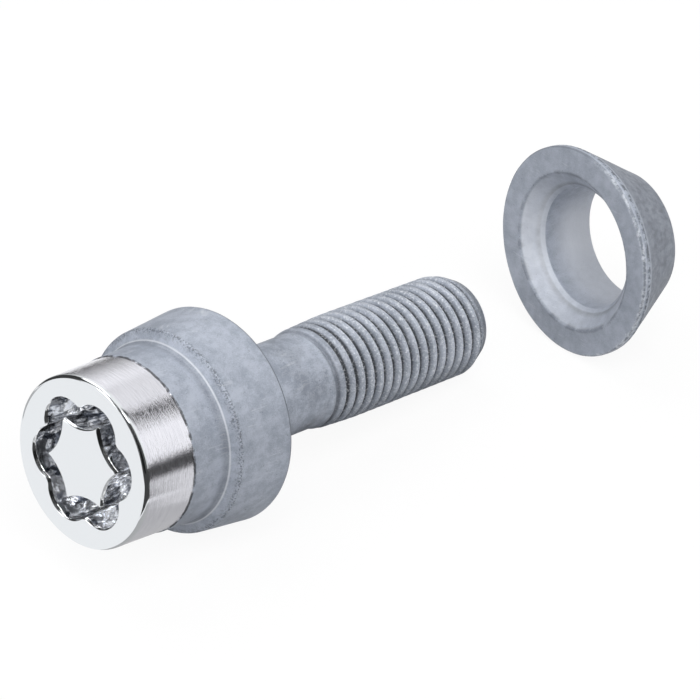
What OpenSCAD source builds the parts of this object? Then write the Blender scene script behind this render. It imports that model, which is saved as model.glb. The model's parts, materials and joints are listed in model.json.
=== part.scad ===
// Locking wheel bolt with its loose taper ring.
// The bolt is one forging: a round head with a closed wavy key groove in its face, a
// flange with a shoulder under it, a waisted neck and the threaded shank. The ring's
// hollow takes the shoulder, and its cone sits in the wheel. All lengths are millimetres.

/* [Head] */
// Diameter of the bright head at its face
head_d = 18.9; // [17.5:0.1:21]
// Rounding of the face's outer edge
head_round = 0.6; // [0.2:0.1:0.9]
// Length of the bright, polished end
bright_len = 6.9; // [6:0.1:9]
// Growth of the radius along the bright end
bright_flare = 0.15; // [0.05:0.05:0.3]
// How far the coated band stands proud of the bright end
coat_step = 0.1; // [0.04:0.02:0.2]
// Length of the coated band between the bright end and the flange
band_len = 4.8; // [3:0.1:7]
// Growth of the radius along the coated band
band_flare = 0.15; // [0.05:0.05:0.3]

/* [Key groove] */
// Wall between the groove's lobes and the outside of the head
groove_wall = 2.15; // [1.8:0.05:2.6]
// Width of the groove
groove_w = 2.3; // [1.8:0.1:2.6]
// Height of the rounded teeth between the lobes
tooth_h = 1.2; // [1:0.1:1.5]
// Rounding of each tooth
tooth_round = 0.8; // [0.5:0.1:1]
// Width by which the island's points are blunted
island_blunt = 0.12; // [0.05:0.01:0.2]
// Depth of the groove
groove_depth = 5; // [3:0.5:5.5]
// Angle of the first lobe, seen from the front and counted from the right
groove_turn = 10; // [0:1:59]

/* [Flange] */
// Diameter of the flange at its rear edge
flange_d = 23.9; // [23:0.1:27]
// Difference in radius between the flange's front and rear edges
flange_draft = 0.65; // [0.3:0.05:1]
// Length of the flange
flange_len = 7.7; // [5:0.1:10]
// Length over which the front of the flange slopes back
flange_lead = 0.5; // [0.2:0.1:1]
// Rounding of the flange's rear edge
flange_round = 0.5; // [0.2:0.1:0.9]
// Diameter of the 45 degree shoulder under the flange
shoulder_d = 18.6; // [17:0.1:20]

/* [Shank] */
// Nominal thread diameter
thread_d = 12; // [10:0.5:12.5]
// Height by which the thread stands proud of the neck
neck_relief = 0.45; // [0.3:0.05:0.9]
// Length from the flange to the thread's run-out
neck_len = 12.3; // [8:0.1:20]
// Length of the thread's run-out
runout_len = 2.4; // [1.5:0.1:4]
// Length of the full thread
thread_len = 22.9; // [15:0.1:40]
// Distance between the thread's turns
thread_pitch = 1.5; // [1.25:0.25:1.75]
// Depth of the thread
thread_depth = 0.75; // [0.5:0.05:0.8]
// Width of the thread's root
root_w = 0.2; // [0.1:0.05:0.3]
// Length of the tip chamfer
tip_len = 2.1; // [1:0.1:3]
// Height of the tip chamfer
tip_drop = 0.95; // [0.6:0.05:1.4]

/* [Taper ring] */
// Overhang of the ring's wide face beyond the flange
ring_overhang = 0.45; // [0:0.05:1]
// Straight land behind the wide face
ring_land = 0.9; // [0.6:0.1:1.5]
// Length of the ring along its axis
ring_len = 9.1; // [8:0.1:11]
// Wall of the ring at its narrow end
ring_wall = 0.55; // [0.4:0.05:1]
// Gap between the ring's bore and the thread
bore_gap = 1.15; // [0.8:0.05:1.4]
// Gap between the bolt's shoulder and the ring's hollow
shoulder_gap = 0.1; // [0.05:0.05:0.3]
// Rounding of the edges of the ring's wide face
ring_round = 0.25; // [0.1:0.05:0.4]

/* [Layout] */
// Gap between the bolt's tip and the ring's wide face
ring_gap = 12.3; // [8:0.1:20]
// Sideways offset of the ring from the bolt
ring_aside = 7.2; // [6:0.1:9]
// Turn of the ring away from the bolt's direction
ring_yaw = 10.1; // [0:0.1:20]
// Lean of the ring toward its narrow end
ring_lean = 6.3; // [0:0.1:12]

/* [Hidden] */
$fn = 96;
lobes = 6;
lobe_step = 360 / lobes;
flank_angle = 30;
overcut = 1;

// The two finishes lap inside the head, so that they make one solid.
lap = 1;

// Radii of the bolt, from the face back.
head_r = head_d / 2;
bright_end_r = head_r + bright_flare;
lap_r = bright_end_r + bright_flare * lap / bright_len;
band_r = bright_end_r + coat_step;
band_end_r = band_r + band_flare;
flange_r = flange_d / 2;
flange_front_r = flange_r - flange_draft;
thread_r = thread_d / 2;
neck_r = thread_r - neck_relief;

// Distances from the head face.
head_len = bright_len + band_len;
flange_end = head_len + flange_len;
rim_at = flange_end - flange_round;
neck_end = flange_end + neck_len;
thread_start = neck_end + runout_len;
tip_start = thread_start + thread_len;
bolt_len = tip_start + tip_len;

// Section of one turn of the thread: it widens from the root to just outside the crests.
root_r = thread_r - thread_depth;
cut_r = thread_r + thread_depth / 4;
cut_w = root_w + 2 * (cut_r - root_r) * tan(flank_angle);
full_turns = floor(thread_len / thread_pitch);

// Bore and hollow of the ring, and the shoulder that goes into them.
bore_r = thread_r + bore_gap;
ring_r = flange_r + ring_overhang;
ring_small_r = bore_r + ring_wall;
shoulder_r = shoulder_d / 2;
sink_r = shoulder_r + shoulder_gap;
shoulder_end_r = bore_r - shoulder_gap;
shoulder_end = flange_end + shoulder_r - shoulder_end_r;
neck_start = shoulder_end + shoulder_end_r - neck_r;

// Lobe and tooth arcs of the groove run into each other, half a step apart. They cross by
// a hair, because arcs that only touch leave the outline open there.
half_step = lobe_step / 2;
arc_lap = 0.01;
groove_r = head_r - groove_wall;
tooth_at = groove_r - tooth_h + tooth_round;
lobe_reach = groove_r + tooth_round - arc_lap;
lobe_at = (lobe_reach * lobe_reach - tooth_at * tooth_at)
    / (2 * (lobe_reach - tooth_at * cos(half_step)));
lobe_r = groove_r - lobe_at;

// Each hollow of the island is an arc through two neighbouring points.
island_r = groove_r - groove_w;
point_r = island_r + island_blunt;
waist_r = groove_r - tooth_h - groove_w;
hollow_at = (point_r * point_r - waist_r * waist_r)
    / (2 * (point_r * cos(half_step) - waist_r));
hollow_r = hollow_at - waist_r;

// The bolt lies on its flange and on the end of its thread, with the tip down.
bolt_tilt = atan((flange_r - thread_r) / (tip_start - rim_at));
face_height = (flange_r - flange_round) * cos(bolt_tilt) + flange_round
    + rim_at * sin(bolt_tilt);

// The ring stands on the land of its wide end.
ring_ahead = bolt_len * cos(bolt_tilt) + ring_gap;
ring_height = ring_r * cos(ring_lean) + ring_land * sin(ring_lean);
ring_way_x = sin(ring_yaw) * cos(ring_lean);
ring_way_y = cos(ring_yaw) * cos(ring_lean);

// Extent of both pieces, used to put the origin under their middle.
low_x = -flange_r;
high_x = ring_aside + ring_land * ring_way_x + ring_r * sqrt(1 - ring_way_x * ring_way_x);
low_y = head_round * (cos(bolt_tilt) - 1) - (head_r - head_round) * sin(bolt_tilt);
high_y = ring_ahead + ring_len * ring_way_y
    + ring_small_r * sqrt(1 - ring_way_y * ring_way_y);
middle_x = (low_x + high_x) / 2;
middle_y = (low_y + high_y) / 2;

// A point at a radius and an angle.
function polar(r, a) = [r * cos(a), r * sin(a)];

// Quarter disc that rounds an outer corner; way is 1 at a front edge and -1 at a rear one.
module corner_round(at, r, way) {
    translate([at[0] - r, at[1] + way * r])
        intersection() {
            circle(r = r);
            translate([0, way > 0 ? -r : 0]) square(r);
        }
}

// Outer outline of the key groove: lobes joined by rounded teeth.
module groove_outline() {
    difference() {
        union() {
            polygon([for (k = [0 : lobes - 1], j = [0, 1])
                polar(j == 0 ? lobe_at : tooth_at, (k + j / 2) * lobe_step)]);
            for (k = [0 : lobes - 1])
                rotate(k * lobe_step) translate([lobe_at, 0]) circle(r = lobe_r);
        }
        for (k = [0 : lobes - 1])
            rotate((k + 0.5) * lobe_step) translate([tooth_at, 0]) circle(r = tooth_round);
    }
}

// Island in the middle of the groove: a six-pointed star with hollow sides.
module island_outline() {
    intersection() {
        circle(r = island_r);
        difference() {
            polygon([for (k = [0 : lobes - 1]) polar(point_r, k * lobe_step)]);
            for (k = [0 : lobes - 1])
                rotate((k + 0.5) * lobe_step) translate([hollow_at, 0]) circle(r = hollow_r);
        }
    }
}

// Space of the groove, open at the head face.
module key_groove() {
    rotate(-groove_turn)
        translate([0, 0, -overcut])
            linear_extrude(groove_depth + overcut)
                difference() {
                    groove_outline();
                    island_outline();
                }
}

// Bright end of the head, with the groove that the key enters.
module bright_end() {
    difference() {
        rotate_extrude() {
            polygon([
                [0, 0],
                [head_r - head_round, 0],
                [head_r - head_round, head_round],
                [head_r, head_round],
                [lap_r, bright_len + lap],
                [0, bright_len + lap]
            ]);
            corner_round([head_r, 0], head_round, 1);
        }
        key_groove();
    }
}

// Turns of the thread, the first of them in the run-out. Each is a closed ring, which gives
// the thread its pitch and its section but no lead.
module thread_turns() {
    for (k = [-1 : full_turns - 1])
        translate([0, thread_start + (k + 0.5) * thread_pitch])
            polygon([
                [root_r, -root_w / 2],
                [cut_r, -cut_w / 2],
                [cut_r, cut_w / 2],
                [root_r, root_w / 2]
            ]);
}

// Coated rest of the forging: band, flange, shoulder, neck and threaded shank.
module coated_body() {
    rotate_extrude() {
        difference() {
            polygon([
                [0, bright_len - lap],
                [bright_end_r - lap, bright_len - lap],
                [band_r, bright_len + coat_step],
                [band_end_r, head_len],
                [flange_front_r, head_len + flange_lead],
                [flange_r, rim_at],
                [flange_r - flange_round, rim_at],
                [flange_r - flange_round, flange_end],
                [shoulder_r, flange_end],
                [shoulder_end_r, shoulder_end],
                [neck_r, neck_start],
                [neck_r, neck_end],
                [thread_r, thread_start],
                [thread_r, tip_start],
                [thread_r - tip_drop, bolt_len],
                [0, bolt_len]
            ]);
            thread_turns();
        }
        corner_round([flange_r, flange_end], flange_round, -1);
    }
}

// Bolt lying as it comes to rest, head toward the front.
module wheel_bolt() {
    translate([-middle_x, -middle_y, face_height])
        rotate([-90 - bolt_tilt, 0, 0]) {
            color("gainsboro") bright_end();
            color("slategray") coated_body();
        }
}

// Section of the taper ring: hollow and bore inside, straight land and cone outside.
module ring_section() {
    polygon([
        [bore_r, sink_r - bore_r],
        [sink_r, 0],
        [ring_r - ring_round, 0],
        [ring_r - ring_round, ring_round],
        [ring_r, ring_round],
        [ring_r, ring_land],
        [ring_small_r, ring_len],
        [bore_r, ring_len]
    ]);
    corner_round([ring_r, 0], ring_round, 1);
}

// Taper ring, standing off the tip with its wide face toward the bolt.
module taper_ring() {
    color("silver")
        translate([ring_aside - middle_x, ring_ahead - middle_y, ring_height])
            rotate([0, 0, -ring_yaw])
                rotate([-90 - ring_lean, 0, 0])
                    rotate_extrude()
                        ring_section();
}

wheel_bolt();
taper_ring();
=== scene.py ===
import json
from math import atan2, ceil, cos, pi, radians, sin, sqrt, tan

import bpy
from mathutils import Matrix, Vector, noise


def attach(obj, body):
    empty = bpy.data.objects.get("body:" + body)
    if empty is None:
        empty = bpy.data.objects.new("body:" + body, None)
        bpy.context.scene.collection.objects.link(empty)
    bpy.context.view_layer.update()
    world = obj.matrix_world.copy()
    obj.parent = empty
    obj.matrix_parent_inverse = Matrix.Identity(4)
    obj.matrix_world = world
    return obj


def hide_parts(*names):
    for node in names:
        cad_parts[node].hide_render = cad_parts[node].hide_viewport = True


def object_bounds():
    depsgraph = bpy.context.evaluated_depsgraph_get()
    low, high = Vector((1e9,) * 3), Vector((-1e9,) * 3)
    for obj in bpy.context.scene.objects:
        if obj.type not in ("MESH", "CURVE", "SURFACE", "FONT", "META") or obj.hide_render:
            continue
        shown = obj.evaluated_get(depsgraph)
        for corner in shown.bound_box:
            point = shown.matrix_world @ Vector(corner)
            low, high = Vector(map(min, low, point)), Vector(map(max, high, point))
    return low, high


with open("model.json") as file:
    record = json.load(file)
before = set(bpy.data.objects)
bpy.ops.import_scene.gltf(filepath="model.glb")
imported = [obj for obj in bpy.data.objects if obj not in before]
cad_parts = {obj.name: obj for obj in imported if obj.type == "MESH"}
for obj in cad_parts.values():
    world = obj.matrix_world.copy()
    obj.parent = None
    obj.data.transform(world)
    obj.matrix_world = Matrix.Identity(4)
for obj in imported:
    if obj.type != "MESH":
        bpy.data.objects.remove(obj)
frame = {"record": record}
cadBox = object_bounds()
mm = 0.001
mounts = {m["name"]: m for m in frame["record"]["mounts"]}
print("frame loaded, CAD box", cadBox)


# Places of the two pieces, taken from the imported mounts

def mountPlace(name):
    return Vector(mounts[name]["pos_m"]), Vector(mounts[name]["axis"]).normalized()


def placeAlong(start, way):  # local Z runs along way, and local X stays level
    side = Vector((0, 0, -1)).cross(way).normalized()
    turn = Matrix((side, way.cross(side), way)).transposed().to_4x4()
    return Matrix.Translation(start) @ turn


# Camera first: it looks down on the head face from the right

cameraSet = {
    "azimuth": 42.64,  # degrees, 0 looks along +Y
    "elevation": 31.9,
    "lens": 181.2,  # on a 36 mm sensor
    "faceAway": 0.3636,  # head face's centre from the lens, along the view
    "faceAside": -0.02774,  # and to the right of the view's middle
    "faceAbove": -0.01169,
}


def viewWay(azimuth, elevation):  # toward an azimuth and elevation, in degrees
    a, e = radians(azimuth), radians(elevation)
    return Vector((sin(a) * cos(e), -cos(a) * cos(e), sin(e)))


def addCamera(c, target):
    back = viewWay(c["azimuth"], c["elevation"])
    right = viewWay(c["azimuth"] + 90, 0)
    up = back.cross(right)
    camera = bpy.data.objects.new("camera", bpy.data.cameras.new("camera"))
    camera.data.lens = c["lens"]
    camera.data.sensor_width = 36
    camera.data.clip_start = 0.01
    place = target + back * c["faceAway"] - right * c["faceAside"] - up * c["faceAbove"]
    turn = Matrix((right, up, back)).transposed().to_4x4()
    camera.matrix_world = Matrix.Translation(place) @ turn
    bpy.context.scene.collection.objects.link(camera)
    bpy.context.scene.camera = camera
    return camera


faceCentre, faceWay = mountPlace("key_groove")
boltWay = -faceWay
camera = addCamera(cameraSet, faceCentre)
print("camera placed")


# Shader maths as expressions

class Sock:  # a node's output that takes + - * / and numbers
    def __init__(self, graph, plug):
        self.graph = graph
        self.plug = plug

    def math(self, kind, a, b):
        return self.graph.node("ShaderNodeMath", {"operation": kind}, {0: a, 1: b})

    def __add__(self, other):
        return self.math("ADD", self, other)

    def __radd__(self, other):
        return self.math("ADD", other, self)

    def __sub__(self, other):
        return self.math("SUBTRACT", self, other)

    def __rsub__(self, other):
        return self.math("SUBTRACT", other, self)

    def __mul__(self, other):
        return self.math("MULTIPLY", self, other)

    def __rmul__(self, other):
        return self.math("MULTIPLY", other, self)

    def __truediv__(self, other):
        return self.math("DIVIDE", self, other)

    def __rtruediv__(self, other):
        return self.math("DIVIDE", other, self)


class Graph:  # the nodes of one material or of the world
    def __init__(self, tree):
        self.tree = tree
        tree.nodes.clear()

    def node(self, kind, settings=None, inputs=None, out=0):
        made = self.tree.nodes.new(kind)
        for name, value in (settings or {}).items():
            setattr(made, name, value)
        for name, value in (inputs or {}).items():
            if isinstance(value, Sock):
                self.tree.links.new(value.plug, made.inputs[name])
            else:
                made.inputs[name].default_value = value
        return Sock(self, made.outputs[out]) if made.outputs else None

    def noise(self, at, scale, detail=2.0, rough=0.5):
        return self.node("ShaderNodeTexNoise", {}, {
            "Vector": at, "Scale": scale, "Detail": detail, "Roughness": rough})

    def smooth(self, value, low, high):  # 0 below low, 1 above high
        return self.node("ShaderNodeMapRange", {"interpolation_type": "SMOOTHSTEP"}, {
            "Value": value, "From Min": low, "From Max": high})

    def blend(self, share, a, b):  # colours: a where share is 0, b where it is 1
        a, b = (v if isinstance(v, Sock) else (*v, 1.0) for v in (a, b))
        return self.node("ShaderNodeMix", {"data_type": "RGBA"}, {0: share, 6: a, 7: b}, 2)

    def stretch(self, at, x, y, z):
        return self.node("ShaderNodeVectorMath", {"operation": "MULTIPLY"}, {
            0: at, 1: (x, y, z)})

    def band(self, value, middle, half, soft):  # 1 within half of middle
        off = self.node("ShaderNodeMath", {"operation": "ABSOLUTE"}, {0: value - middle})
        return 1 - self.smooth(off, half, half + soft)


# Finishes of the metal. Lengths in the shaders are millimetres along and off the axis.

coatLook = {
    "dark": (0.33, 0.365, 0.433),
    "light": (0.49, 0.53, 0.612),
    # dark flecks; also the colour of the painted shade on the ring's cone and of the ring's darker
    # face and edges
    "fleckAndShade": (0.09, 0.1, 0.12),
    "scratch": (0.64, 0.67, 0.72),
    "shadeAndDirt": (0.03, 0.032, 0.036),  # painted shade in the fillet, behind the flange, in the thread roots and on the flanks; also the rim's dark flecks and the neck's grime
    "highlightAndBare": (0.8, 0.825, 0.86),  # painted highlight on the lip; also the lighter crests and specks of the thread
    "burr": (0.74, 0.77, 0.81),  # torn edge of the ring
    "insideLight": (0.76, 0.79, 0.85),  # painted light on the inside of the ring
    "rough": 0.46,
    "metal": 0.3,
    "skin": 0.03,  # height of the grain, in millimetres
}
brightLook = {
    "face": (0.8, 0.825, 0.85),
    "side": (0.875, 0.875, 0.93),
    "worn": (0.56, 0.565, 0.635),
    # painted shade and painted dark reflections on the groove's walls
    "deep": (0.2, 0.215, 0.25),
    # painted glints on the groove's walls
    "glint": (0.97, 0.98, 1),
    "seam": (0.04, 0.04, 0.045),  # line where the coating starts
    "faceRough": 0.08,
    "sideRough": 0.1,
    "brushed": 0.012,  # height of the brushed lines, in millimetres
    "dents": 0.46,  # height of the waves on the groove's walls
}


def ownMm(graph, place):  # millimetres in the piece's own directions, Z along its axis
    at = graph.node("ShaderNodeTexCoord", {}, {}, "Object")
    return graph.node("ShaderNodeMapping", {"vector_type": "TEXTURE"}, {
        "Vector": at, "Location": place.translation, "Rotation": place.to_euler(),
        "Scale": (mm, mm, mm)})


def cylinder(graph, at):  # distances along the axis, off it, to the side and down
    parts = graph.node("ShaderNodeSeparateXYZ", {}, {0: at})
    x, y, z = (Sock(graph, plug) for plug in parts.plug.node.outputs)
    return z, graph.node("ShaderNodeMath", {"operation": "SQRT"}, {0: x * x + y * y}), x, y


def scratches(graph, at, turn):  # thin slanting marks, 0 to 1
    slanted = graph.node("ShaderNodeMapping", {"vector_type": "POINT"}, {
        "Vector": at, "Rotation": turn, "Scale": (0.35, 5.5, 0.35)})
    return graph.smooth(graph.noise(slanted, 1.0, 2, 0.5), 0.62, 0.7)


def coatParts(graph, at, look, contrast):  # colour, roughness and height of the coating
    clouds = graph.noise(at, 0.24, 3)
    mottle = graph.noise(at, 1.0, 4, 0.6)
    grain = graph.noise(at, 6.5, 3, 0.7)
    tone = 0.5 + (clouds * 0.3 + mottle * 0.35 + grain * 0.35 - 0.5) * contrast
    colour = graph.blend(graph.smooth(tone, 0.34, 0.66), look["dark"], look["light"])
    marks = scratches(graph, at, (0.5, 0.3, 0.9)) + scratches(graph, at, (-0.8, 0.6, -0.5))
    patches = graph.smooth(graph.noise(at, 0.35, 2), 0.5, 0.62)
    colour = graph.blend(marks * patches * 0.35, colour, look["scratch"])
    spots = graph.noise(graph.stretch(at, 1, 1, 1.6), 2.6, 3, 0.6)
    flecks = graph.smooth(spots, 0.66, 0.72) * 0.5
    colour = graph.blend(flecks, colour, look["fleckAndShade"])
    rough = look["rough"] + grain * 0.12
    height = (mottle * 0.5 + grain * 0.5 - flecks * 0.5) * look["skin"]
    return colour, rough, height


def metalMaterial(name):
    material = bpy.data.materials.new(name)
    material.use_nodes = True
    return material, Graph(material.node_tree)


def finishSurface(graph, colour, rough, metal, height):  # height in millimetres
    normal = graph.node("ShaderNodeBump", {}, {
        "Height": height, "Strength": 1.0, "Distance": mm})
    shader = graph.node("ShaderNodeBsdfPrincipled", {}, {
        "Base Color": colour, "Roughness": rough, "Metallic": metal, "Normal": normal})
    graph.node("ShaderNodeOutputMaterial", {}, {"Surface": shader})


boltMarks = {  # how strong each mark is, from 0 to 1
    "rim": 0.6,  # flecks round the flange's front edge
    # painted shade in the fillet between the band and the flange
    "fillet": 0.3,
    "rear": 0.6,  # painted shadow on the neck just behind the flange
    # painted shade in the thread roots
    "root": 0.85,
    "tipRoot": 0.65,  # how much of the root's shade the tip chamfer loses
    # painted shade down the thread's flanks
    "flankShade": 0.3,
    "grime": 0.16,
    "undersideShade": 0.2,  # painted shade: more of the grime on the neck's underside
    # painted highlight on the lip where the band meets the flange
    "lipHighlight": 0.5,
    "sparkle": 0.6,
    "crests": 0.25,
    "seam": 0.85,
    "worn": 0.28,  # brushed lines on the bright side
    "grooveFloorShade": 0.2,  # painted shade: how many fewer painted glints the groove's floor gets
}


def shadeOf(masks):  # masks laid over each other as one
    clear = 1
    for mask in masks:
        clear = clear * (1 - mask)
    return 1 - clear


def boltMaterial(coat, bright, marks, b, place):
    material, graph = metalMaterial("boltSteel")
    at = ownMm(graph, place)
    z, off, aside, down = cylinder(graph, at)
    crest, flange = b["threadRadius"], b["flangeEnd"]

    # coated part: painted shade in the fillet, behind the flange, in the thread roots, on the
    # flanks and under the neck; dark flecks on the rim; a painted highlight on the lip; lighter
    # crests
    onShank = graph.smooth(z, flange + 1, flange + 4)
    coatColour, coatRough, coatHeight = coatParts(graph, at, coat, 1.45 + onShank * 0.55)
    ragged = z + (graph.noise(at, 1.2, 3, 0.6) - 0.5) * 0.5
    broken = graph.smooth(graph.noise(at, 4.6, 3, 0.7), 0.46, 0.58)
    rim = graph.band(ragged, b["flangeFront"] + 0.05, 0.04, 0.35) * broken
    # painted shade in the fillet before the flange
    fillet = graph.smooth(z, b["headLen"] - 1.3, b["headLen"] - 0.3) * (
        1 - graph.smooth(z, b["headLen"] - 0.15, b["headLen"] - 0.05))
    # painted shadow just behind the flange
    rear = graph.smooth(z, flange - 0.5, flange - 0.3) * (1 - onShank)
    onThread = graph.smooth(z, b["neckEnd"] + 0.6, b["threadStart"] + 0.6) * (
        1 - graph.smooth(z, b["length"] - 0.3, b["length"] - 0.05))
    # painted shade in the thread roots, with less of it on the tip chamfer
    root = onThread * (1 - graph.smooth(off, crest - 0.58, crest - 0.34))
    root = root * (1 - marks["tipRoot"] * graph.smooth(z, b["tipStart"], b["tipStart"] + 0.9))
    # painted shade, darker down the flanks toward the roots
    flankShade = onThread * (1 - graph.smooth(off, crest - 0.5, crest - 0.04))
    onNeck = graph.smooth(z, flange + 1, flange + 3) * (
        1 - graph.smooth(z, b["neckEnd"], b["neckEnd"] + 1))
    grime = onNeck * graph.smooth(graph.noise(at, 0.34, 4, 0.65), 0.42, 0.62)
    # painted shade: the grime grows stronger toward the neck's underside
    grime = grime * (marks["grime"] + marks["undersideShade"] * graph.smooth(down, -1, 4.5))
    # painted shade in the fillet, behind the flange, in the thread roots and on the flanks, laid
    # together with the rim's flecks and the neck's grime
    shadeAndDirt = shadeOf([rim * marks["rim"], fillet * marks["fillet"], rear * marks["rear"],
                     root * marks["root"], flankShade * marks["flankShade"], grime])
    coatColour = graph.blend(shadeAndDirt, coatColour, coat["shadeAndDirt"])
    # painted highlight: a thin light line on the lip where the band meets the flange
    lipHighlight = graph.band(z, b["headLen"] - 0.03, 0.035, 0.06) * (1 - graph.smooth(off, 10.2, 10.3))
    sparkle = graph.smooth(graph.noise(at, 4.2, 3, 0.75), 0.46, 0.66)
    crests = onThread * graph.smooth(off, crest - 0.3, crest - 0.1)
    light = lipHighlight * marks["lipHighlight"] + onThread * (sparkle - 0.2) * marks["sparkle"]
    light = light + crests * marks["crests"]
    coatColour = graph.blend(graph.smooth(light, 0, 1), coatColour, coat["highlightAndBare"])

    # uneven line where the coating starts
    seam = z + (graph.noise(at, 1.9, 4, 0.75) - 0.5) * 0.35
    coated = graph.smooth(seam, b["brightLen"] - 0.04, b["brightLen"] + 0.04)
    line = graph.band(seam, b["brightLen"], 0.08, 0.1)
    line = line * graph.smooth(graph.noise(at, 0.9, 3, 0.6), 0.36, 0.56)

    # bright end: brushed side, smooth face, dented groove walls with painted shade, painted dark
    # reflections and painted glints, darker at the groove's floor
    lines = graph.noise(graph.stretch(at, 0.5, 0.5, 9), 1.0, 3, 0.6)
    hair = graph.noise(graph.stretch(at, 1.1, 1.1, 14), 1.0, 2, 0.6)
    onSide = graph.smooth(z, 0.35, 0.7)
    deep = graph.smooth(z, 0.05, 0.5) * (1 - graph.smooth(off, 7.6, 8))
    waves = graph.noise(graph.stretch(at, 1, 1, 0.7), 0.65, 1.5, 0.4)
    # painted glints: patches where the groove's walls are painted bright
    glints = graph.smooth(graph.noise(graph.stretch(at, 1, -1, 0.6), 0.6, 2, 0.5), 0.38, 0.42)
    worn = graph.smooth(lines * 0.6 + hair * 0.4, 0.36, 0.6)
    side = graph.blend((1 - worn) * marks["worn"], bright["side"], bright["worn"])
    brightColour = graph.blend(onSide, bright["face"], side)
    # painted shade at the groove's floor, with fewer painted glints there
    grooveFloorShade = graph.smooth(z, 4.7, 5) * marks["grooveFloorShade"]
    wall = graph.blend(glints * (1 - grooveFloorShade), bright["deep"], bright["glint"])
    brightColour = graph.blend(deep, brightColour, wall)
    sideRough = bright["sideRough"] - bright["faceRough"] + lines * 0.08
    brightRough = bright["faceRough"] + onSide * sideRough
    brightHeight = onSide * (1 - deep) * (lines + hair) * bright["brushed"]
    brightHeight = brightHeight + deep * waves * bright["dents"]

    colour = graph.blend(coated, brightColour, coatColour)
    colour = graph.blend(line * marks["seam"], colour, bright["seam"])
    rough = brightRough * (1 - coated) + coatRough * coated
    metal = 1 - coated + coated * coat["metal"]
    height = coatHeight * coated + brightHeight * (1 - coated)
    finishSurface(graph, colour, rough, metal, height)
    return material


ringMarks = {  # how strong each mark is, from 0 to 1
    "face": 0.08,  # how much darker the wide face is
    "burr": 0.5,
    "edge": 0.8,
    "mouth": 0.4,
    "outline": 0.55,
    # painted shade on the ring's cone
    "cone": 0.43,
    "streaks": 0.25,  # more of it in streaks along the cone
    # painted light in the ring's hollow
    "hollow": 0.68,
    "spread": 0.15,  # less of it where the dirt is
    "aside": 0.7,  # how much of it the right side loses
    "below": 0.45,  # and the lowest part
    # painted light on the bore
    "bore": 0.85,
    "boreBelow": 0.3,
    "rougher": 0.08,  # than the bolt
    "turned": 0.01,  # height of the turning marks, in millimetres
}


def ringMaterial(coat, marks, r, place):
    material, graph = metalMaterial("ringSteel")
    at = ownMm(graph, place)
    z, off, aside, down = cylinder(graph, at)
    colour, rough, height = coatParts(graph, at, coat, 1.1)

    # torn coating and dirt along the edges
    torn = graph.smooth(graph.noise(at, 1.7, 4, 0.7), 0.42, 0.6)
    right = graph.smooth(aside, 0, 6)
    ragged = off + (graph.noise(at, 1.1, 3, 0.65) - 0.5) * 1.6
    onFace = 1 - graph.smooth(z, 0.06, 0.3)
    burr = right * torn * graph.smooth(ragged, 12.05, 12.25) * (1 - graph.smooth(z, 0.35, 0.6))
    colour = graph.blend(onFace * marks["face"], colour, coat["fleckAndShade"])
    colour = graph.blend(burr * marks["burr"], colour, coat["burr"])
    edge = graph.band(z, r["land"], 0.12, 0.3) * graph.smooth(off, 11, 11.5)
    outline = graph.smooth(off, 12.15, 12.35) * (1 - graph.smooth(z, 0.25, 0.4)) * (1 - burr)
    mouth = graph.band(off, r["hollowRadius"] - 0.1, 0.12, 0.3) * (1 - graph.smooth(z, 0.35, 0.6))
    spread = graph.smooth(graph.noise(at, 0.6, 3, 0.65), 0.4, 0.6)
    dirt = shadeOf([edge * (1 - torn) * marks["edge"], mouth * spread * marks["mouth"],
                    outline * marks["outline"]])
    colour = graph.blend(dirt, colour, coat["fleckAndShade"])

    # painted shade on the cone, with streaks
    streaks = graph.smooth(graph.noise(graph.stretch(at, 1.4, 1.4, 0.25), 1.0, 3, 0.6), 0.35, 0.7)
    onCone = graph.smooth(z, r["land"] + 0.3, r["land"] + 0.8) * graph.smooth(off, 7.5, 7.65)
    cone = onCone * (marks["cone"] + marks["streaks"] * streaks)
    colour = graph.blend(cone, colour, coat["fleckAndShade"])

    # painted light in the hollow and on the bore, fading toward the top, weaker on the right and at
    # the bottom
    deep = r["hollowRadius"] - r["boreRadius"]
    pastHollow = graph.smooth(z, deep - 0.06, deep + 0.02)
    hollow = graph.smooth(z, 0.1, 0.3) * (1 - graph.smooth(off, 9.5, 9.9)) * (1 - pastHollow)
    hollow = hollow * graph.smooth(down, -10, 0) * (1 - marks["aside"] * graph.smooth(aside, -1, 7))
    hollow = hollow * (1 - marks["below"] * graph.smooth(down, 4, 8.5))
    bore = pastHollow * (1 - graph.smooth(off, 7.3, 7.45)) * graph.smooth(z, deep, deep + 4)
    bore = bore * graph.smooth(down, -5, 1) * (1 - marks["boreBelow"] * graph.smooth(down, 3, 6))
    insideLight = hollow * (marks["hollow"] - spread * marks["spread"]) + bore * marks["bore"]
    colour = graph.blend(insideLight, colour, coat["insideLight"])

    turned = graph.noise(graph.stretch(at, 0.25, 0.25, 5), 1.0, 3, 0.6)
    height = height + turned * marks["turned"]
    finishSurface(graph, colour, rough + marks["rougher"], coat["metal"], height)
    return material


# Mesh of rings: each ring is a closed row of points, and rings are joined in order

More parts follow.
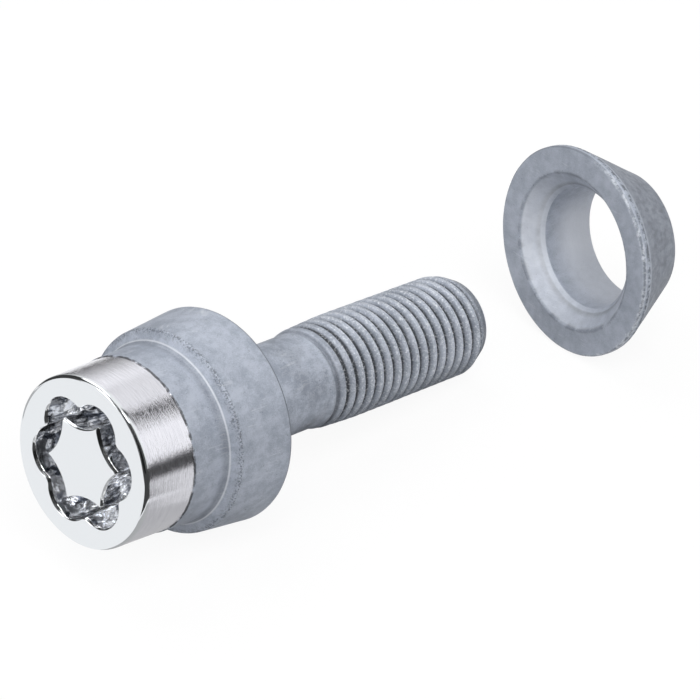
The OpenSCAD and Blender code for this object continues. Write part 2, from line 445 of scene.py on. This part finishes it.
class Shell:
    def __init__(self):
        self.points = []
        self.faces = []

    def ring(self, place, count, start=0.0):
        first = len(self.points)
        for j in range(count):
            angle = start + 2 * pi * j / count
            r, z = place(angle)
            self.points.append((r * cos(angle) * mm, r * sin(angle) * mm, z * mm))
        return range(first, first + count)

    def join(self, a, b):
        n = len(a)
        self.faces += [(a[j], a[(j + 1) % n], b[(j + 1) % n], b[j]) for j in range(n)]

    def joinHelix(self, before, rows, after, seam, turn):  # rows climb one turn at the seam
        n = len(before)
        pairs = [(before, rows[0]), *zip(rows, rows[1:]), (rows[-1], after)]
        for a, b in pairs:
            self.faces += [(a[j - 1], a[j], b[j], b[j - 1]) for j in range(n) if j != seam]
        right, left = [r[seam] for r in rows], [r[seam - 1] for r in rows]
        self.faces.append((before[seam - 1], before[seam], right[0], left[0]))
        self.faces += [(left[0], a, b) for a, b in zip(right[:turn], right[1:turn + 1])]
        self.faces += [(left[i], right[i + turn], right[i + 1 + turn], left[i + 1])
                       for i in range(len(rows) - 1 - turn)]
        self.faces += [(right[-1], b, a) for a, b in zip(left[-1 - turn:-1], left[-turn:])]
        self.faces.append((left[-1], right[-1], after[seam], after[seam - 1]))

    def joinHalf(self, fine, coarse):  # two steps of the fine ring meet one of the coarse
        n = len(coarse)
        for j in range(n):
            a, b, c = (fine[(2 * j + s) % (2 * n)] for s in (0, 1, 2))
            p, q = coarse[j], coarse[(j + 1) % n]
            self.faces += [(a, b, p), (b, q, p), (b, c, q)]

    def cap(self, ring, z, first):
        self.points.append((0, 0, z * mm))
        tip = len(self.points) - 1
        n = len(ring)
        for j in range(n):
            a, b = ring[j], ring[(j + 1) % n]
            self.faces.append((tip, b, a) if first else (a, b, tip))

    def build(self, name, place, material):
        mesh = bpy.data.meshes.new(name)
        mesh.from_pydata([place @ Vector(p) for p in self.points], [], self.faces)
        mesh.shade_smooth()
        mesh.materials.append(material)
        piece = bpy.data.objects.new(name, mesh)
        bpy.context.scene.collection.objects.link(piece)
        print(name, "has", sum(len(f) - 2 for f in self.faces), "triangles")
        return piece


def softened(corners, longest, arcSteps=5):  # rounds each (radius, distance, rounding) corner
    out = []
    for i, (r, z, q) in enumerate(corners):
        here = Vector((r, z))
        if q == 0 or i in (0, len(corners) - 1):
            out.append(here)
            continue
        before, after = Vector(corners[i - 1][:2]), Vector(corners[i + 1][:2])
        back, on = before - here, after - here
        reach = min(q, 0.49 * back.length, 0.49 * on.length)
        start, end = here + back.normalized() * reach, here + on.normalized() * reach
        out.append(start + back.normalized() * min(reach * 0.3, 0.02 * back.length))
        for s in range(arcSteps + 1):
            t = s / arcSteps
            out.append(start * (1 - t) ** 2 + here * (2 * t * (1 - t)) + end * t ** 2)
        out.append(end + on.normalized() * min(reach * 0.3, 0.02 * on.length))
    path = [out[0]]
    for p in out[1:]:
        step = p - path[-1]
        parts = max(1, ceil(step.length / longest))
        start = path[-1]
        path += [start + step * (k / parts) for k in range(1, parts + 1)]
    return path


def lump(r, angle, z, size, seed):  # from 0 to 1, the same on every run
    at = Vector((r * cos(angle), r * sin(angle), z)) / size
    return 0.5 + 0.5 * noise.noise(at + Vector((seed, seed, seed)))


# Bolt

boltShape = {
    "steps": 192,  # points round the bolt
    "headRadius": 9.45,
    "headRound": 0.42,
    "brightLen": 6.9,
    "brightEndRadius": 9.6,
    "bandRadius": 9.7,
    "bandEndRadius": 9.85,
    "lipRadius": 10.15,
    "headLen": 11.7,
    "flangeFrontRadius": 11.3,
    "flangeFront": 12.2,
    "flangeRadius": 11.95,
    "flangeEnd": 19.4,
    "flangeRound": 0.5,
    "shoulderRadius": 9.3,
    "shoulderEndRadius": 7.05,
    "neckRadius": 5.36,
    "neckEnd": 31.9,
    "threadStart": 34.1,
    "firstCrest": 5.72,  # the crests start flat and low, and are full at runOutEnd
    "runOutEnd": 40.0,
    "threadRadius": 6.0,
    "threadDepth": 0.75,
    "threadSide": -36.5,  # local angle at which the helix meets the solid's turns, degrees
    "rootWidth": 0.2,
    "flankAngle": 30,  # degrees from square to the axis
    "pitch": 1.5,
    "turns": (-2, 16),  # turns of rows from threadStart, past both ends of the thread
    "tipStart": 57.0,
    "length": 59.1,
    "tipRadius": 5.05,
    "lumps": 0.05,  # how deep the forging skin waves
}
grooveShape = {
    "steps": 384,
    "turn": -10,  # local angle of the first lobe, in degrees
    "outer": 7.3,
    "tooth": 1.2,
    "toothRound": 0.8,
    "width": 2.3,
    "blunt": 0.12,
    "depth": 5.0,
    "edge": 0.16,
    "fillet": 0.5,
    "draft": 0.12,  # how far each wall leans in by the floor
    "wave": 0.1,  # how far the walls wave along the groove
}


class Groove:  # outlines of the wavy key groove as radius over angle
    def __init__(self, g):
        self.g = g
        half = radians(30)
        self.toothAt = g["outer"] - g["tooth"] + g["toothRound"]
        reach = g["outer"] + g["toothRound"]
        self.lobeAt = (reach ** 2 - self.toothAt ** 2) / (2 * (reach - self.toothAt * cos(half)))
        self.lobeR = g["outer"] - self.lobeAt
        tooth = Vector((self.toothAt * cos(half), self.toothAt * sin(half)))
        lobe = Vector((self.lobeAt, 0))
        meet = lobe + (tooth - lobe).normalized() * self.lobeR
        self.meetAngle = atan2(meet.y, meet.x)
        self.pointR = g["outer"] - g["width"]
        waist = self.pointR - g["tooth"]
        sharp = self.pointR + g["blunt"]
        self.hollowAt = (sharp ** 2 - waist ** 2) / (2 * (sharp * cos(half) - waist))
        self.hollowR = self.hollowAt - waist

    def fold(self, angle):  # angle off the nearest lobe, without sign
        step = pi / 3
        off = (angle - radians(self.g["turn"])) % step
        return min(off, step - off)

    def outer(self, angle):
        p = self.fold(angle)
        if p < self.meetAngle:
            return self.lobeAt * cos(p) + sqrt(self.lobeR ** 2 - (self.lobeAt * sin(p)) ** 2)
        q = pi / 6 - p
        inside = self.g["toothRound"] ** 2 - (self.toothAt * sin(q)) ** 2
        return self.toothAt * cos(q) - sqrt(inside)

    def island(self, angle):
        q = pi / 6 - self.fold(angle)
        inside = self.hollowR ** 2 - (self.hollowAt * sin(q)) ** 2
        return min(self.pointR, self.hollowAt * cos(q) - sqrt(inside))

    def shifted(self, outline, by):  # the outline moved off itself by a distance
        def radius(angle):
            r = outline(angle)
            slope = (outline(angle + 0.01) - outline(angle - 0.01)) / (0.02 * r)
            return r + by * sqrt(1 + min(slope * slope, 1.5))
        return radius


def grooveRings(shell, g):
    groove = Groove(g)
    count, start = g["steps"], radians(g["turn"])
    e, f, depth = g["edge"], g["fillet"], g["depth"]
    quarter = [radians(a) for a in (18, 36, 54, 72, 90)]
    walls = [0.5, 1.0, 1.6, 2.3, 3.0, 3.8]
    rows = [(groove.island, -e * s, 0.0) for s in (3, 1.6, 1)]
    rows += [(groove.island, -e + e * sin(a), e * (1 - cos(a))) for a in quarter]
    rows += [(groove.island, g["draft"] * z / depth, z) for z in walls]
    rows += [(groove.island, g["draft"] + f * (1 - cos(a)), depth - f + f * sin(a))
             for a in [0] + quarter]
    rows += [(groove.outer, -g["draft"] - f * (1 - cos(a)), depth - f + f * sin(a))
             for a in reversed([0] + quarter)]
    rows += [(groove.outer, -g["draft"] * z / depth, z) for z in reversed(walls)]
    rows += [(groove.outer, e - e * sin(a), e * (1 - cos(a))) for a in reversed(quarter)]
    rows += [(groove.outer, e * s, 0.0) for s in (1, 1.6, 3)]

    def row(outline, by, z):
        edge = groove.shifted(outline, by)

        def place(angle):
            wave = g["wave"] * min(z, 1.5) * (lump(6, angle, z, 1.0, 3.1) - 0.5)
            return edge(angle) + wave, z
        return shell.ring(place, count, start)

    inner = groove.shifted(groove.island, -3 * e)
    shares = (0.25, 0.5, 0.75, 0.92)
    rings = [shell.ring(lambda a, s=s: (s * inner(a), 0.0), count, start) for s in shares]
    rings += [row(*r) for r in rows]
    shell.cap(rings[0], 0.0, True)
    for a, b in zip(rings, rings[1:]):
        shell.join(a, b)
    return rings[-1]


def headCorners(b):
    return [
        (8.0, 0, 0),
        (b["headRadius"], 0, b["headRound"]),
        (b["brightEndRadius"], b["brightLen"], 0.02),
        (b["bandRadius"], b["brightLen"] + 0.1, 0.08),
        (b["bandEndRadius"], b["headLen"] - 0.35, 0.7),
        (b["lipRadius"], b["headLen"] + 0.02, 0.16),
        (b["flangeFrontRadius"], b["flangeFront"], 0.22),
        (b["flangeRadius"], b["flangeEnd"] - b["flangeRound"], 0.3),
        (b["flangeRadius"] - b["flangeRound"] * 0.3, b["flangeEnd"] - b["flangeRound"] * 0.3, 0.3),
        (b["flangeRadius"] - b["flangeRound"], b["flangeEnd"], 0.3),
        (b["shoulderRadius"], b["flangeEnd"], 0.25),
        (b["shoulderEndRadius"], b["flangeEnd"] + 2.25, 0.4),
        (b["neckRadius"], b["flangeEnd"] + 3.8, 1.2),
        (b["neckRadius"], b["neckEnd"] - 1.6, 0),
    ]


def threadLead(b, angle):  # turns that the helix has made at an angle
    return (angle - radians(b["threadSide"])) / (2 * pi)


def threadDrop(b, angle, z):  # how far the surface lies under the crests
    turn = ((z - b["threadStart"]) / b["pitch"] - threadLead(b, angle)) % 1
    fromRoot = abs(turn - 0.5) * b["pitch"] - b["rootWidth"] / 2
    rise = max(0, fromRoot) / tan(radians(b["flankAngle"]))
    return max(0, b["threadDepth"] - rise)


def ease(z, low, high):  # 0 before low, 1 past high, smooth between
    t = min(1, max(0, (z - low) / (high - low)))
    return t * t * (3 - 2 * t)


def shankRadius(b, angle, z):
    rise = ease(z, b["neckEnd"], b["threadStart"])
    full = ease(z, b["threadStart"] - 2, b["runOutEnd"])
    low = (b["threadRadius"] - b["firstCrest"]) * (1 - full)
    crest = b["threadRadius"] - max(low, threadDrop(b, angle, z))
    r = b["neckRadius"] * (1 - rise) + crest * rise
    if z > b["tipStart"]:
        along = (z - b["tipStart"]) / (b["length"] - b["tipStart"])
        r = min(r, b["threadRadius"] + (b["tipRadius"] - b["threadRadius"]) * along)
    return r


def threadRows(shell, b, count, start, place):  # rows that follow the helix, and their seam
    root = b["rootWidth"] / 2
    groove = root + b["threadDepth"] * tan(radians(b["flankAngle"]))
    side = [root, root + 0.04, groove * 0.55, groove - 0.04, groove, groove + 0.05]
    offsets = [-b["pitch"] / 2] + [-s for s in reversed(side)] + side
    seam = ceil((0.5 - threadLead(b, start)) * count)
    rows = []
    for k in range(*b["turns"]):
        for off in offsets:
            def point(angle, k=k, off=off):
                lead = threadLead(b, angle)
                pastSeam = lead * count > 0.5 * count - 0.01
                z = b["threadStart"] + b["pitch"] * (k + 0.5 + lead - pastSeam) + off
                return place(angle, z)
            rows.append(shell.ring(point, count, start))
    return rows, seam, len(offsets)


def buildBolt(b, g, place, material):
    shell = Shell()
    count, start = b["steps"], radians(g["turn"])
    last = grooveRings(shell, g)
    path = softened(headCorners(b), 0.9)

    def skin(r, angle, z):  # only the coated part has a forging skin, and it waves inward
        if z < b["brightLen"] + 0.3:
            return r
        broad, fine = lump(r, angle, z, 3.2, 1.7), lump(r, angle, z, 0.9, 5.3)
        return r - b["lumps"] * (0.7 * broad + 0.3 * fine)

    for i, p in enumerate(path):
        ring = shell.ring(lambda a, p=p: (skin(p.x, a, p.y), p.y), count, start)
        if i == 0:
            shell.joinHalf(last, ring)
        else:
            shell.join(last, ring)
        last = ring

    def shank(angle, z):
        return skin(shankRadius(b, angle, z), angle, z), z

    rows, seam, turn = threadRows(shell, b, count, start, shank)
    end = shell.ring(lambda a: shank(a, b["length"]), count, start)
    shell.joinHelix(last, rows, end, seam, turn)
    last = end
    for share in (0.96, 0.9, 0.6, 0.3):
        ring = shell.ring(
            lambda a, s=share: (s * shank(a, b["length"])[0], b["length"]), count, start)
        shell.join(last, ring)
        last = ring
    shell.cap(last, b["length"], False)
    return shell.build("boltBody", place, material)


boltPlace = placeAlong(faceCentre, boltWay)
boltSteel = boltMaterial(coatLook, brightLook, boltMarks, boltShape, boltPlace)
bolt = buildBolt(boltShape, grooveShape, boltPlace, boltSteel)
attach(bolt, "root")
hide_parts("wheel_bolt")
print("bolt built")


# Taper ring

ringShape = {
    "steps": 192,
    "radius": 12.4,
    "land": 0.9,
    "length": 9.1,
    "smallRadius": 7.7,
    "boreRadius": 7.15,
    "hollowRadius": 9.4,
    "lumps": 0.04,
}


def ringCorners(s):
    deep = s["hollowRadius"] - s["boreRadius"]
    middle = (s["boreRadius"], (deep + s["length"]) / 2, 0)
    return [
        middle,
        (s["boreRadius"], deep, 0.12),
        (s["hollowRadius"], 0, 0.14),
        (s["radius"], 0, 0.3),
        (s["radius"], s["land"], 0.12),
        (s["smallRadius"], s["length"], 0.12),
        (s["boreRadius"], s["length"], 0.1),
        middle,
    ]


def buildRing(s, place, material):
    shell = Shell()
    path = softened(ringCorners(s), 0.7)[:-1]

    def skin(r, angle, z):
        if r > s["boreRadius"] + 0.1:
            return r - s["lumps"] * lump(r, angle, z, 2.4, 8.9)
        return r

    rings = [shell.ring(lambda a, p=p: (skin(p.x, a, p.y), p.y), s["steps"]) for p in path]
    for a, b in zip(rings, rings[1:] + rings[:1]):
        shell.join(a, b)
    return shell.build("taperRing", place, material)


smallEnd, ringWay = mountPlace("ring_cone")
ringPlace = placeAlong(smallEnd - ringWay * ringShape["length"] * mm, ringWay)
ringSteel = ringMaterial(coatLook, ringMarks, ringShape, ringPlace)
ring = buildRing(ringShape, ringPlace, ringSteel)
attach(ring, "root")
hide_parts("taper_ring")
print("ring built")


# Studio: pale floor, white surroundings, soft lamps, cards that only gloss shows, and sheets of
# painted shadow on the floor that only gloss shows

studio = {
    "ambient": 0.17,  # light of the surroundings on dull surfaces
    "floorWhite": 0.92,  # share of plain white in the floor that the camera sees
    "floorDull": 0.42,  # floor's own tone, which lights the undersides
    "floorHalf": 3,
}
# Each lamp: way from the object toward it, power, and spread in degrees
lamps = {
    "keyLamp": ((0.5, -0.33, 0.8), 1.95, 40),
    "leftLamp": ((-0.45, 0.1, 0.85), 0.7, 40),
    "frontLamp": ((-0.2, -0.9, 0.45), 0.95, 40),
    "rightLamp": ((0.8, 0.1, 0.5), 0.42, 40),
}
# Each card is a patch of a sphere round the head, and lies on the floor where the sphere is
# under it: azimuths, elevations, distance and tone
cards = {
    "roomFront": ((-20, 8), (0, 45), 0.5, 0.14),
    "roomRight": ((8, 84), (0, 60), 0.5, 0.012),
    "roomSide": ((84, 118), (0, 60), 0.5, 0.1),
    "roomTop": ((-66, 40), (47, 70), 0.48, 0.05),
    "roomLeft": ((-110, -41), (-5, 42), 0.5, 0.05),
    "lowLeft": ((-112, -52), (-15, -5), 0.07, 0.5),
    "gapBehind": ((149, 163), (20, 60), 0.45, 0.02),
    "skyBehind": ((170, 208), (22, 48), 0.46, 0.8),
    "lowRight": ((10, 112), (-27, 4), 0.07, 0.06),
    "lowFront": ((-12, 10), (-11, 3), 0.07, 0.08),
    # painted shadow: a grey sheet lying on the floor under and right of the head, seen only in
    # reflections
    "floorShadowFront": ((15, 112), (-80, -30), 0.07, 0.46),
    "horizonRight": ((112, 156), (-14, 1), 0.075, 0.07),
    # painted shadow: a grey sheet lying on the floor beside the shank, seen only in reflections
    "floorShadowRight": ((112, 160), (-40, -14), 0.075, 0.74),
    "horizonLeft": ((-160, -114), (-4, 5), 0.09, 0.03),
    "horizonHaze": ((-165, -112), (5, 19), 0.088, 0.42),
    "horizonGlow": ((-168, -112), (19, 29), 0.087, 0.68),
}
# Painted shadow: dark patches just over the floor under the object, seen only in reflections,
# standing in for its shadow there: two corners and tone
shadowPatches = {
    "shadowUnderHead": ((-0.003, -0.042), (0.016, -0.012), 0.5),
    "shadowUnderShank": ((-0.014, -0.012), (0.005, 0.026), 0.1),
}
underHeight = 0.0003
middle = (Vector(cadBox[0]) + Vector(cadBox[1])) / 2


def seenAsWhite(graph):  # camera, glossy and transmission rays
    rays = graph.node("ShaderNodeLightPath").plug.node.outputs
    direct, glossy, through = (
        Sock(graph, rays[n]) for n in ("Is Camera Ray", "Is Glossy Ray", "Is Transmission Ray"))
    both = direct.math("MAXIMUM", direct, glossy)
    return both.math("MAXIMUM", both, through)


def addWorld(s):
    world = bpy.data.worlds.new("surroundings")
    world.use_nodes = True
    graph = Graph(world.node_tree)
    white = graph.node("ShaderNodeBackground", {}, {"Color": (1, 1, 1, 1), "Strength": 1.0})
    dull = graph.node("ShaderNodeBackground", {}, {
        "Color": (1, 1, 1, 1), "Strength": s["ambient"]})
    mixed = graph.node("ShaderNodeMixShader", {}, {0: seenAsWhite(graph), 1: dull, 2: white})
    graph.node("ShaderNodeOutputWorld", {}, {"Surface": mixed})
    bpy.context.scene.world = world


def addStage(name, points, faces, place, material):
    mesh = bpy.data.meshes.new(name)
    mesh.from_pydata(points, [], faces)
    mesh.materials.append(material)
    made = bpy.data.objects.new(name, mesh)
    made.location = place
    bpy.context.scene.collection.objects.link(made)
    return made


def glow(graph, tone):
    return graph.node("ShaderNodeEmission", {}, {"Color": (tone, tone, tone, 1), "Strength": 1.0})


def addFloor(s):
    material, graph = metalMaterial("paleFloor")
    seen = seenAsWhite(graph)
    tone = graph.blend(seen, (s["floorDull"],) * 3, (1, 1, 1))
    matt = graph.node("ShaderNodeBsdfDiffuse", {}, {"Color": tone})
    share = seen * s["floorWhite"]
    mixed = graph.node("ShaderNodeMixShader", {}, {0: share, 1: matt, 2: glow(graph, 1)})
    graph.node("ShaderNodeOutputMaterial", {}, {"Surface": mixed})
    far = s["floorHalf"]
    corners = [(-far, -far, 0), (far, -far, 0), (far, far, 0), (-far, far, 0)]
    addStage("floor", corners, [(0, 1, 2, 3)], (middle.x, middle.y, cadBox[0][2]), material)


def addSun(name, way, power, spread):
    lamp = bpy.data.lights.new(name, "SUN")
    lamp.energy = power
    lamp.angle = radians(spread)
    made = bpy.data.objects.new(name, lamp)
    made.rotation_euler = Vector(way).to_track_quat("Z", "Y").to_euler()
    bpy.context.scene.collection.objects.link(made)


def addGlossOnly(name, points, faces, place, tone):
    material, graph = metalMaterial(name)
    graph.node("ShaderNodeOutputMaterial", {}, {"Surface": glow(graph, tone)})
    card = addStage(name, points, faces, place, material)
    card.visible_camera = False
    card.visible_diffuse = False
    card.visible_shadow = False
    card.visible_transmission = False


def addCard(name, azimuths, elevations, away, tone, steps=12):
    centre = faceCentre + boltWay * 4 * mm

    def corner(i, j):
        way = viewWay(azimuths[0] + (azimuths[1] - azimuths[0]) * i / steps,
                      elevations[0] + (elevations[1] - elevations[0]) * j / steps)
        toFloor = (centre.z - underHeight) / max(-way.z, 0.01)
        return way * min(away, toFloor)

    points = [corner(i, j) for j in range(steps + 1) for i in range(steps + 1)]
    row = steps + 1
    faces = [(k, k + 1, k + 1 + row, k + row)
             for j in range(steps) for k in range(j * row, j * row + steps)]
    addGlossOnly(name, points, faces, centre, tone)


def addPatch(name, near, far, tone):
    corners = [(*near, 0), (far[0], near[1], 0), (*far, 0), (near[0], far[1], 0)]
    addGlossOnly(name, corners, [(0, 1, 2, 3)], (0, 0, underHeight), tone)


addWorld(studio)
addFloor(studio)
for name, (way, power, spread) in lamps.items():
    addSun(name, way, power, spread)
for name, (azimuths, elevations, away, tone) in cards.items():
    addCard(name, azimuths, elevations, away, tone)
for name, (near, far, tone) in shadowPatches.items():
    addPatch(name, near, far, tone)
bpy.context.scene.view_settings.view_transform = "Standard"
print("studio set")
